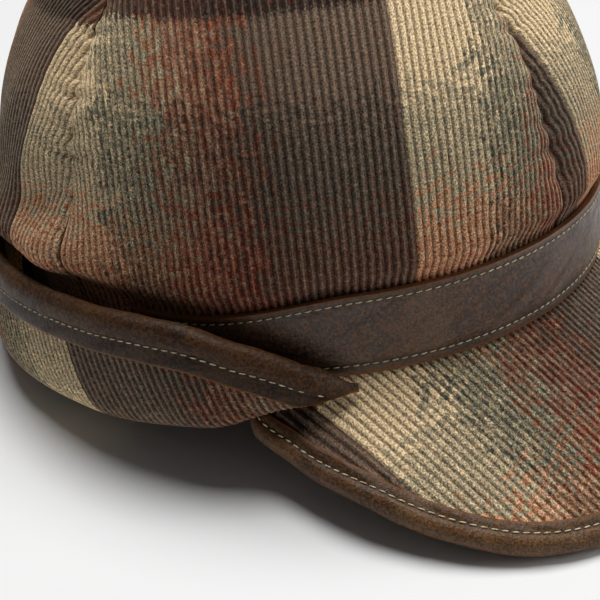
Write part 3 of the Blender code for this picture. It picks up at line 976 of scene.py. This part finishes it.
@dataclass
class EarFlap:
    """The doubled ear and neck flap, turned up round the sides and back.

    Attributes:
        close_turn: The turn past the band's end over which the flap closes in by close_in.
        roll: How far the trim's roll stands over the cloth.
        packed_steps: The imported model's steps round the flap.
        lips: The most that the trim's outer and inner lips measure.
        lips_most: The most of the cloth's height that they take.
        tip: How far the trim's ends reach past the flap's.
        lean: How far the ribs lean, apart from near the back, where they stand up over lean_fade.
        sag: How the cloth waves, about a distance down from its free edge.
        course: Rows of turn to the back, then height of the top, drop of the fold and reach, as shares.
        section: Rows of reach and rise as shares, from the free edge round the fold to the inner edge.
        cut: Where the plaid falls on it, across and down.
    """

    top: float = 23.8
    drop: float = 15.0
    reach: float = 13.5
    thickness: float = 2.6
    front_angle: float = math.radians(48)
    close_turn: float = math.radians(12)
    band_half_angle: float = math.radians(78)
    close_in: float = 3.0
    roll: float = 2.9
    packed_steps: int = 56
    lips: Pair = (9.8, 7.5)
    lips_most: Pair = (0.85, 0.2025)
    seam_depths: Pair = (4.3, 4.8)
    tip: float = math.radians(1.2)
    taper: float = math.radians(5)
    lean: float = math.radians(15)
    lean_fade: float = 0.35
    sag: Waves = ((0.5, 83.0, 0.2), (0.3, 37.0, 1.2))
    sag_at: float = 26.0
    sag_width: float = 10.0
    columns_per_rib: int = 5
    rib_count: int = 232
    rows: int = 40
    section_steps: int = 96
    trim_grid: tuple[int, int] = (660, 20)
    cut: Pair = (34.5, 52.0)
    course: Table = (
        (0.000, 0.12, 0.13, 0.42), (0.022, 0.24, 0.18, 0.48), (0.043, 0.36, 0.23, 0.64), (0.072, 0.51, 0.28, 0.70),
        (0.101, 0.65, 0.38, 0.76), (0.116, 0.71, 0.45, 0.81), (0.130, 0.78, 0.54, 0.86), (0.152, 0.88, 0.64, 0.93),
        (0.174, 0.95, 0.69, 0.97), (0.232, 1.00, 0.80, 1.00), (0.312, 1.00, 0.89, 1.00), (0.420, 0.98, 0.96, 1.00),
        (0.700, 0.97, 0.99, 1.00), (1.000, 0.97, 1.00, 1.00),
    )  # fmt: skip
    section: Table = (
        (0.80, 1.000), (0.90, 0.770), (0.97, 0.550), (1.00, 0.350), (0.95, 0.150), (0.78, 0.018),
        (0.56, 0.000), (0.33, 0.008), (0.12, 0.080), (0.01, 0.270), (0.00, 0.550),
    )  # fmt: skip

    @property
    def trim_front(self) -> float:
        """The angle where the trim starts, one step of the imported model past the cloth."""
        return self.front_angle - (TURN - 2 * self.front_angle) / self.packed_steps

    def sizes(self, angle: Array) -> tuple[Array, ...]:
        """Work out how the flap stands.

        Args:
            angle: Angles from the front.

        Returns:
            Its top, drop and reach at each angle.
        """
        turn = (np.abs(wrapped(angle)) - self.trim_front) / (TURN / 2 - self.trim_front)
        turns, *shares = zip(*self.course)
        sizes = zip((self.top, self.drop, self.reach), shares)
        return tuple(size * curve_through(turns, share, turn) for size, share in sizes)

    def cloth_height(self, angle: Array) -> Array:
        """How tall the cloth stands from its fold to its free edge, inside the trim."""
        top, drop, _ = self.sizes(angle)
        return top - self.roll + drop

    def section_point(self, angle: Array, share: Array) -> Array:
        """Find points of the outer face.

        Args:
            angle: Angles from the front.
            share: Shares of the way through the section's rows.

        Returns:
            One point for each angle.
        """
        rows = np.arange(len(self.section))
        across, rise = (curve_through(rows, column, share * rows[-1]) for column in zip(*self.section))
        _, drop, reach = self.sizes(angle)
        past_band = np.abs(wrapped(angle)) - self.band_half_angle
        inside = RING.wrap_gap - self.close_in * eased(0.0, self.close_turn, past_band)
        return RING.point(angle, inside + (reach - inside) * across, self.cloth_height(angle) * rise - drop)

    def down(self, angle: Array, distance: Array) -> Array:
        """Find points of the outer face, down from its free edge.

        Args:
            angle: Angles from the front.
            distance: Distances down the cloth.

        Returns:
            One point for each angle.
        """
        angles, which = np.unique(angle, return_inverse=True)
        every_angle, every_share = np.meshgrid(angles, np.linspace(0, 1, self.section_steps + 1), indexing="ij")
        strips = self.section_point(every_angle, every_share)
        steps = np.linalg.norm(np.diff(strips, axis=1), axis=-1)
        lengths = np.concatenate([np.zeros((len(angles), 1)), np.cumsum(steps, axis=1)], axis=1)
        points = np.empty((len(distance), 3))
        order = np.argsort(which, kind="stable")
        groups = np.split(order, np.searchsorted(which[order], np.arange(1, len(angles))))
        for group, length, strip in zip(groups, lengths, strips):
            points[group] = np.stack([np.interp(distance[group], length, axis) for axis in strip.T], axis=-1)
        return points

    def lip(self, most: float, share: float) -> Callable[[Array], Array]:
        """How wide a lip of the trim is at each angle: it narrows with the flap's ends."""
        return lambda angle: np.minimum(most, share * self.cloth_height(angle))

    def laid(self) -> Laid:
        """Lay out the flap with its columns along the leaning ribs.

        Returns:
            Its sheet, its two faces, and its cloth coordinates.
        """
        sheet = Sheet(self.rib_count * self.columns_per_rib, self.rows)
        share = 1 - sheet.along
        straight = self.front_angle + (1 - sheet.across) * (TURN - 2 * self.front_angle)
        _, distance = sheet.lengths(self.section_point(straight, share))
        from_end = np.minimum(straight - self.front_angle, TURN - self.front_angle - straight)
        lean = math.tan(self.lean) * np.tanh((TURN / 2 - straight) / self.lean_fade) * eased(0.0, 0.1, from_end)
        angle = straight - lean * distance / (RING.mean + self.reach)
        point = self.section_point(angle, share)
        middle = RING.point(angle, 0.45 * self.reach, 0.35 * self.top - 0.5 * self.drop)
        normal = facing(normals_of(self.section_point, angle, share, (0.004, 0.004)), point - middle)
        across = (sheet.across - 0.5) * self.rib_count * RIBS.pitch
        sag = waves(straight * RING.mean, self.sag) * bell(distance - self.sag_at, self.sag_width)
        outer = point + normal * (RIBS.relief(across) + sag)[:, None]
        inner = point + normal * (sag - self.thickness)[:, None]
        return sheet, (outer, inner), np.stack([RIBS.cut_at(across, self.cut[0]), distance + self.cut[1]], axis=-1)

    def trim(self) -> LeatherEdge:
        """Design the leather over the flap's free edge.

        Returns:
            The leather.
        """
        ends = TURN - self.trim_front + self.tip, self.trim_front - self.tip
        lips = tuple(self.lip(*lip) for lip in zip(self.lips, self.lips_most))
        sizes = self.down, ends, self.thickness, lips, self.seam_depths, self.taper, Sheet(*self.trim_grid)
        return LeatherEdge(*sizes, names=("flap_edge", "flap_stitches", "ear_flap_trim"), slot=Slot.BROWN_LEATHER)

    def build(self, shop: Workshop, corduroy: Finish) -> None:
        """Make the flap's cloth."""
        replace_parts(shop.wall("turned_flap", self.laid(), [corduroy], Slot.CORDUROY), "ear_flap")


def add_node(
    tree: Tree,
    kind: str,
    links: dict[int | str, object] | None = None,
    stops: Stops = (),
    feeds: Socket | None = None,
    **settings: object,
) -> bpy.types.NodeOutputs:
    """Add a node with its settings and links.

    Args:
        tree: Where it goes.
        kind: Blender's name for the node, without ShaderNode before it.
        links: What each input is: another node's output, or a value.
        stops: Places and sRGB colours, for a colour ramp.
        feeds: The input that its first output goes to.
        settings: The node's own settings.

    Returns:
        The new node's outputs.
    """
    node = tree.nodes.new(f"ShaderNode{kind}")
    for name, value in settings.items():
        setattr(node, name, value)
    for number, (place, colour) in enumerate(stops):
        ramp = node.color_ramp.elements
        stop = ramp[number] if number < 2 else ramp.new(place)
        stop.position, stop.color = place, linear(colour)
    for socket, source in (links or {}).items():
        if isinstance(source, Socket):
            tree.links.new(source, node.inputs[socket])
        else:
            node.inputs[socket].default_value = source
    if feeds:
        tree.links.new(node.outputs[0], feeds)
    return node.outputs


def new_material(name: str, **settings: object) -> tuple[Finish, Tree, bpy.types.NodeInputs]:
    """Start a material.

    Args:
        name: What it is made of.
        settings: Its shader's settings, their names with underscores.

    Returns:
        The material, its nodes and its shader's inputs.
    """
    material = bpy.data.materials.new(name)
    material.use_nodes = True
    inputs = material.node_tree.nodes["Principled BSDF"].inputs
    for setting, value in settings.items():
        inputs[setting.replace("_", " ")].default_value = value
    return material, material.node_tree, inputs


class Curve(Enum):
    """How a pattern's share runs between its low and its high."""

    STRAIGHT = "LINEAR"
    EASED = "SMOOTHSTEP"


def toned(tree: Tree, colour: object, rows: Sequence[tuple], curve: Curve = Curve.EASED) -> Socket:
    """Shade or tint a colour by patterns.

    Args:
        tree: The material's nodes.
        colour: The colour so far.
        rows: For each step a pattern, its low and high, the shade or share at each, and the tint, or None to shade.
        curve: How it runs between low and high.

    Returns:
        The new colour.
    """
    for pattern, low, high, first, last, tint in rows:
        share = {0: pattern, 1: low, 2: high, 3: first, 4: last}
        share = add_node(tree, "MapRange", share, interpolation_type=curve.value)[0]
        blend, mixed = ("MIX", {0: share, 7: linear(tint)}) if tint else ("MULTIPLY", {0: 1.0, 7: share})
        mixed[6] = colour
        colour = add_node(tree, "Mix", mixed, data_type="RGBA", blend_type=blend)[2]
    return colour


@dataclass(frozen=True)
class Corduroy:
    """Cotton corduroy, yarn dyed in a shaded plaid and brushed: matt pile, painted shade in the valleys, a soft edge
    light.

    Attributes:
        repeat: Width of the plaid's repeat, in millimetres.
        cotton: Its lightest beige, which the dyes darken.
        crest: The painted highlight on the top of a rib.
        across: Colours across the ribs, as shares of the repeat.
        up: Colours along the ribs, as shares of the repeat.
        grains: The patterns over the cloth: sizes across and along the ribs in millimetres, and detail.
        ragged: How far flecks shift the dye's edges along the ribs, in millimetres.
        blot_share: How far the run of the dye shifts it, as a share of how far inside the repeat it is.
        fleck_share: How far flecks shift it.
    """

    repeat: float = 107.0
    cotton: str = "#EACDA1"
    # Colour of the painted highlight on the ribs' tops
    crest: str = "#B5A993"
    undyed: str = "#A39A88"
    speck: str = "#8E3226"
    across: Stops = (
        (0.00, "#766C72"), (0.20, "#7E767D"), (0.34, "#706569"), (0.40, "#84564C"), (0.44, "#A45E4C"),
        (0.48, "#94949A"), (0.52, "#A85A48"), (0.55, "#B0B0B2"), (0.58, "#B06A54"), (0.61, "#C8C8C6"),
        (0.635, "#6E8496"), (0.66, "#DCDCD8"), (0.69, "#6E8496"), (0.72, "#F2F0EA"), (0.76, "#74899A"),
        (0.78, "#FFFFFF"), (1.00, "#FFFFFF"),
    )  # fmt: skip
    up: Stops = (
        (0.00, "#7A625C"), (0.08, "#7C5C54"), (0.18, "#8E5A4C"), (0.22, "#B4664E"), (0.26, "#C8B4AC"),
        (0.30, "#A85844"), (0.35, "#D0C0B8"), (0.39, "#AE5E4A"), (0.43, "#E4DEDA"), (0.47, "#BA6E5A"),
        (0.51, "#E4E2E0"), (0.54, "#6E8698"), (0.57, "#E0E0DC"), (0.60, "#6E8698"), (0.63, "#F4F2EE"),
        (0.67, "#748A9A"), (0.70, "#FAF8F4"), (0.75, "#90A6B4"), (0.77, "#FFFFFF"), (1.00, "#FFFFFF"),
    )  # fmt: skip
    # Dye that ran along the warps and along the wefts, flecks of about a rib, single yarns, and red specks. Yarns are
    # drawn at 0.45 mm, about twice their real width, so that they show
    grains: Table = ((2.4, 7.0, 1.0), (5.0, 1.9, 1.0), (1.1, 1.7, 2.0), (0.45, 0.6, 1.0), (0.9, 1.2, 0.0))
    ragged: float = 9.0
    blot_share: float = 1.2
    fleck_share: float = 0.75

    def make(self) -> Finish:
        """Make the material.

        Returns:
            The material.
        """
        sheen = {"Sheen_Weight": 0.3, "Sheen_Roughness": 0.45, "Sheen_Tint": linear("#D8C8AC")}
        looks = {"Roughness": 0.92, "Specular_IOR_Level": 0.2, **sheen}
        material, tree, shader = new_material("cotton_corduroy_yarn_dyed", **looks)
        cloth = add_node(tree, "UVMap", uv_map="cloth")[0]
        sides = add_node(tree, "SeparateXYZ", {0: cloth})
        patterns = []
        for across, along, detail in self.grains:
            place = {0: cloth, 1: (1 / across / MM, 1 / along / MM, 1.0)}
            place = add_node(tree, "VectorMath", place, operation="MULTIPLY")[0]
            noise = {"Vector": place, "Scale": 1.0, "Detail": detail}
            patterns.append(add_node(tree, "TexNoise", noise)[0])
        warps, wefts, flecks, yarns, specks = patterns
        # Each way's dye, shifted by those patterns except at the sharp edge between two repeats of the warp
        colour = linear(self.cotton)
        for side, stops, blots, ragged in ((0, self.across, warps, 0.0), (1, self.up, wefts, self.ragged)):
            start, shift = -0.5 * ragged / self.repeat, -0.5 * (self.blot_share + self.fleck_share)
            for pattern, share in ((sides[side], 1 / self.repeat / MM), (flecks, ragged / self.repeat)):
                start = {0: pattern, 1: share, 2: start}
                start = add_node(tree, "Math", start, operation="MULTIPLY_ADD")[0]
            start = add_node(tree, "Math", {0: start}, operation="FRACT")[0]
            inside = add_node(tree, "Math", {0: start, 1: 0.5}, operation="PINGPONG")[0]
            for pattern, share in ((blots, self.blot_share), (flecks, self.fleck_share)):
                shift = {0: pattern, 1: share, 2: shift}
                shift = add_node(tree, "Math", shift, operation="MULTIPLY_ADD")[0]
            place = {0: shift, 1: inside, 2: start}
            place = add_node(tree, "Math", place, operation="MULTIPLY_ADD")[0]
            dyed = {0: 1.0, 6: colour, 7: add_node(tree, "ValToRGB", {0: place}, stops)[0]}
            colour = add_node(tree, "Mix", dyed, data_type="RGBA", blend_type="MULTIPLY")[2]
        # Undyed fibres and red specks spun into the yarn
        spun = (flecks, 0.50, 0.70, 0.0, 0.2, self.undyed), (specks, 0.70, 0.80, 0.0, 0.55, self.speck)
        colour = toned(tree, colour, spun, Curve.STRAIGHT)
        # Heathered yarns, painted shade in the valleys between the ribs, and a painted highlight on the ribs' tops
        half = 0.5 * RIBS.pitch * MM
        rib = add_node(tree, "Math", {0: sides[0], 1: half}, operation="PINGPONG")[0]
        # The yarns' heather, then painted shade: darker in the valleys, lighter on the ribs' tops
        heather_and_painted_shade = (yarns, 0.25, 0.75, 0.4, 1.6, None), (rib, 0.0, 0.8 * half, 0.5, 1.15, None)
        colour = toned(tree, colour, heather_and_painted_shade)
        # A painted highlight on the top of each rib, broken up by the yarns
        crest = add_node(tree, "MapRange", {0: rib, 1: 0.7 * half, 2: half, 3: 0.0, 4: 0.4})[0]
        crest = add_node(tree, "Math", {0: crest, 1: yarns}, operation="MULTIPLY")[0]
        highlighted = {0: crest, 6: colour, 7: linear(self.crest)}
        colour = add_node(tree, "Mix", highlighted, data_type="RGBA")[2]
        tree.links.new(colour, shader["Base Color"])
        pile = add_node(tree, "Math", {0: yarns, 1: 0.6, 2: flecks}, operation="MULTIPLY_ADD")[0]
        bump = {"Height": pile, "Strength": 0.6, "Distance": 0.35 * MM}
        add_node(tree, "Bump", bump, feeds=shader["Normal"])
        return material


@dataclass(frozen=True)
class PullUpLeather:
    """Waxed pull-up cowhide: a fine pebble grain, darker in its hollows, lighter and warmer where it is worn.

    Attributes:
        tones: Its dark, middle and light tone.
        raw: Flesh at a cut edge, burnished over the width in millimetres.
        tan: What shows between the pebbles.
        grains: Sizes in millimetres and detail of the wear, the stains, the mottle of the wax and the pores.
    """

    name: str
    tones: tuple[str, str, str]
    raw: str = "#7A4A1E"
    raw_width: float = 0.9
    tan: str = "#6E4420"
    roughness: float = 0.46
    specular: float = 0.5
    pebble: float = 0.9
    grains: Table = ((20.0, 3.0), (3.0, 3.0), (0.7, 2.0), (0.35, 1.0))

    def make(self) -> Finish:
        """Make the material.

        Returns:
            The material.
        """
        material, tree, shader = new_material(self.name, Specular_IOR_Level=self.specular)
        hide = add_node(tree, "TexCoord")["Object"]
        sewn = add_node(tree, "UVMap", uv_map="cloth")[0]
        past_seam, from_edge, _ = add_node(tree, "SeparateXYZ", {0: sewn})
        wear, stains, mottle, pores = (
            add_node(tree, "TexNoise", {"Vector": hide, "Scale": 1 / size / MM, "Detail": detail})[0]
            for size, detail in self.grains
        )
        pebbles = {"Vector": hide, "Scale": 1 / (self.pebble * MM)}
        pebbles = add_node(tree, "TexVoronoi", pebbles, feature="SMOOTH_F1")[0]
        tone = add_node(tree, "Math", {0: wear, 1: mottle}, operation="ADD")[0]
        tone = add_node(tree, "Math", {0: tone, 1: 0.5}, operation="MULTIPLY")[0]
        colour = add_node(tree, "ValToRGB", {0: tone}, tuple(zip((0.38, 0.50, 0.62), self.tones)))[0]
        stitch_shade = add_node(tree, "Math", {0: past_seam}, operation="ABSOLUTE")[0]
        # Tan shows between the pebbles, and raw flesh over the last millimetre to a cut edge. The strip outside a seam
        # is pressed flat and dark, painted shade darkens the stitch line, and the leather past the seam is lighter
        steps = (
            (pebbles, 0.35, 0.65, 0.0, 0.6, self.tan),
            (from_edge, 0.3 * self.raw_width * MM, self.raw_width * MM, 0.85, 0.0, self.raw),
            (past_seam, -0.6 * MM, 1.2 * MM, 0.82, 1.12, None),
            # Painted shade along the stitch line
            (stitch_shade, 0.2 * MM, 0.6 * MM, 0.35, 1.0, None),
            (pores, 0.3, 0.7, 0.75, 1.2, None),
        )
        tree.links.new(toned(tree, colour, steps), shader["Base Color"])
        height = add_node(tree, "Math", {0: pebbles, 1: -0.9, 2: pores}, operation="MULTIPLY_ADD")[0]
        bump = {"Height": height, "Strength": 0.5, "Distance": 0.3 * MM}
        add_node(tree, "Bump", bump, feeds=shader["Normal"])
        rough = {0: stains, 1: 0.3, 2: 0.7, 3: self.roughness - 0.08, 4: self.roughness + 0.12}
        add_node(tree, "MapRange", rough, feeds=shader["Roughness"])
        return material


@dataclass(frozen=True)
class Fibres:
    """Bare fibres, matt and uneven: the cut through a hide, stained with wax, or waxed linen thread, a little grubby.

    Attributes:
        stops: Where the dark and the light tone lie in the grain, and what they are.
        bump: Strength and depth of the relief, the depth in millimetres.
        grain: Size of the fibres or plies in millimetres.
    """

    name: str
    stops: Stops
    detail: float
    bump: Pair
    roughness: float
    grain: float = 0.5

    def make(self) -> Finish:
        """Make the material.

        Returns:
            The material.
        """
        material, tree, shader = new_material(self.name, Roughness=self.roughness)
        place = add_node(tree, "TexCoord")["Object"]
        grain = {"Vector": place, "Scale": 1 / (self.grain * MM), "Detail": self.detail}
        grain = add_node(tree, "TexNoise", grain)[0]
        add_node(tree, "ValToRGB", {0: grain}, self.stops, shader["Base Color"])
        bump = {"Height": grain, "Strength": self.bump[0], "Distance": self.bump[1] * MM}
        add_node(tree, "Bump", bump, feeds=shader["Normal"])
        return material


@dataclass(frozen=True)
class PaintedFloor:
    """Matt white studio board, with a faint tooth."""

    colour: str = "#EFEFEF"

    def make(self) -> Finish:
        """Make the material.

        Returns:
            The material.
        """
        material, tree, shader = new_material("matt_painted_board", Base_Color=linear(self.colour), Roughness=0.9)
        place = add_node(tree, "TexCoord")["Object"]
        tooth = add_node(tree, "TexNoise", {"Vector": place, "Scale": 400.0, "Detail": 2.0})[0]
        bump = {"Height": tooth, "Strength": 0.05, "Distance": 0.1 * MM}
        add_node(tree, "Bump", bump, feeds=shader["Normal"])
        return material


class Lamp(Enum):
    """Kinds of soft light: one from far away, which lights the whole floor alike, and a round soft box."""

    FAR = "SUN"
    BOX = "AREA"


@dataclass(frozen=True)
class SoftLight:
    """One soft light.

    Attributes:
        place: Where it hangs.
        size: How wide it looks, in radians, or how wide the box is, in metres.
        power: Its strength, in watts for each square metre, or in watts.
    """

    name: str
    kind: Lamp
    place: Triple
    size: float
    power: float

    def hang(self, target: Vector) -> None:
        """Hang the light.

        Args:
            target: What it points at.
        """
        lamp = bpy.data.lights.new(self.name, self.kind.value)
        lamp.energy = self.power
        if self.kind is Lamp.FAR:
            lamp.angle = self.size
        else:
            lamp.shape, lamp.size = "DISK", self.size
        box = bpy.data.objects.new(self.name, lamp)
        box.location = self.place
        box.rotation_euler = (target - Vector(self.place)).to_track_quat("-Z", "Y").to_euler()
        bpy.context.scene.collection.objects.link(box)


@dataclass
class Studio:
    """A pale floor, soft lights and the camera.

    Attributes:
        eye: Where the camera stands, and its right, above and back directions after it.
    """

    floor_size: float = 6.0
    target: Triple = (0.0, 0.0, 0.05)
    world: str = "#FFFFFF"
    world_strength: float = 0.07
    backdrop_strength: float = 0.9
    lights: tuple[SoftLight, ...] = (
        SoftLight("key", Lamp.FAR, (0.27, 0.16, 1.15), math.radians(34), 2.9),
        SoftLight("fill", Lamp.BOX, (0.9, -1.1, 0.55), 0.8, 7.0),
    )
    eye: Triple = (-0.24223, -0.20399, 0.20335)
    right: Triple = (0.66770, -0.74353, -0.03654)
    above: Triple = (0.41970, 0.33544, 0.84341)
    back: Triple = (-0.61484, -0.57848, 0.53603)
    lens: float = 64.046
    sensor: float = 36.0

    def build(self, shop: Workshop) -> None:
        """Set up the studio.

        Args:
            shop: Makes the floor.
        """
        scene = bpy.context.scene
        scene.view_settings.view_transform = "Standard"
        form = bmesh.new()
        bmesh.ops.create_grid(form, x_segments=1, y_segments=1, size=self.floor_size)
        shop.finished("floor", form, [PaintedFloor().make()])
        for light in self.lights:
            light.hang(Vector(self.target))
        scene.world = bpy.data.worlds.new("studio")
        scene.world.use_nodes = True
        tree = scene.world.node_tree
        sky = tree.nodes["Background"].inputs
        sky["Color"].default_value = linear(self.world)
        # The backdrop that the camera sees is pale; what lights the cap is dimmer, so that its shadow stays deep
        seen = add_node(tree, "LightPath")["Is Camera Ray"]
        glow = {0: seen, 3: self.world_strength, 4: self.backdrop_strength}
        add_node(tree, "MapRange", glow, feeds=sky["Strength"])
        lens = bpy.data.cameras.new("camera")
        lens.lens, lens.sensor_width = self.lens, self.sensor
        scene.camera = bpy.data.objects.new("camera", lens)
        scene.camera.matrix_world = Matrix([*zip(self.right, self.above, self.back, self.eye), (0, 0, 0, 1)])
        scene.collection.objects.link(scene.camera)


def main() -> None:
    """Build the cap and the studio."""
    logging.basicConfig(level=logging.INFO, format="%(name)s %(message)s")
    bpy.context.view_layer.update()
    shop, corduroy = Workshop(), Corduroy().make()
    thread = Fibres("waxed_linen_thread", ((0.35, "#A08A64"), (0.6, "#E2CDA4")), 2.0, (0.4, 0.2), 0.65).make()
    raw = Fibres("raw_cut_hide", ((0.35, "#573312"), (0.65, "#8A5626")), 3.0, (0.5, 0.3), 0.8).make()
    dark, brown, shaded_brown = (
        PullUpLeather(f"waxed_{name}_cowhide", tones, **looks).make()
        for name, tones, looks in (
            ("dark", ("#211813", "#3B2C22", "#5A4332"), {"roughness": 0.38}),
            ("brown", ("#2F2013", "#4E3822", "#6E5234"), {"specular": 0.3}),
            # A darker copy of the brown cowhide for the flap's trim, the same leather as the peak's binding: painted
            # shade
            ("shaded_brown", ("#1A1108", "#2E1D0F", "#432C17"), {"tan": "#54351A", "specular": 0.2}),
        )
    )
    peak, flap = Peak(), EarFlap()
    band = LeatherBand(names=("band", "band_stitches", "leather_band"), slot=Slot.DARK_LEATHER)
    Crown().build(shop, corduroy)
    band.build(shop, [dark, raw], thread)
    peak.build(shop, corduroy)
    peak.binding().build(shop, [brown, raw], thread)
    flap.build(shop, corduroy)
    flap.trim().build(shop, [shaded_brown, raw], thread)
    Studio().build(shop)


if __name__ == "__main__":
    main()
